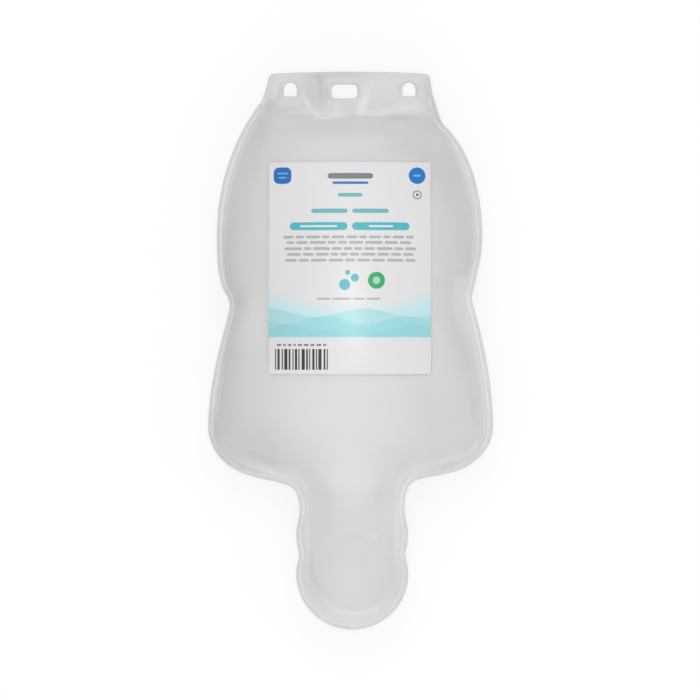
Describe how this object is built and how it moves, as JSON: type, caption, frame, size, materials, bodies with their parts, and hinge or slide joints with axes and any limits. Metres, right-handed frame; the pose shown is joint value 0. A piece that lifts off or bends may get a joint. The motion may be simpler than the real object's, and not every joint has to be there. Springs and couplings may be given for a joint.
{
  "type": "hand soap refill pack",
  "caption": "Sealed pillow-shaped pouch of liquid hand soap with a welded rim, a flat header with hanging holes, a bulged neck closed by a round end, and a printed front label.",
  "frame": {"origin": "centre of the plan's bounding box, on the surface that the pouch's back lies on", "axes": "+X to the right across the pouch as seen from its label, +Y along the pouch from the round end up to the header, +Z out of the label's side"},
  "size_m": [0.1348, 0.264, 0.0513],
  "materials": {
    "film": "soft, milky translucent blown film, satin",
    "label": "white coated label with a pale blue-green print"
  },
  "bodies": {
    "root": {"pouch": "film", "front_label": "label"}
  },
  "joints": []
}
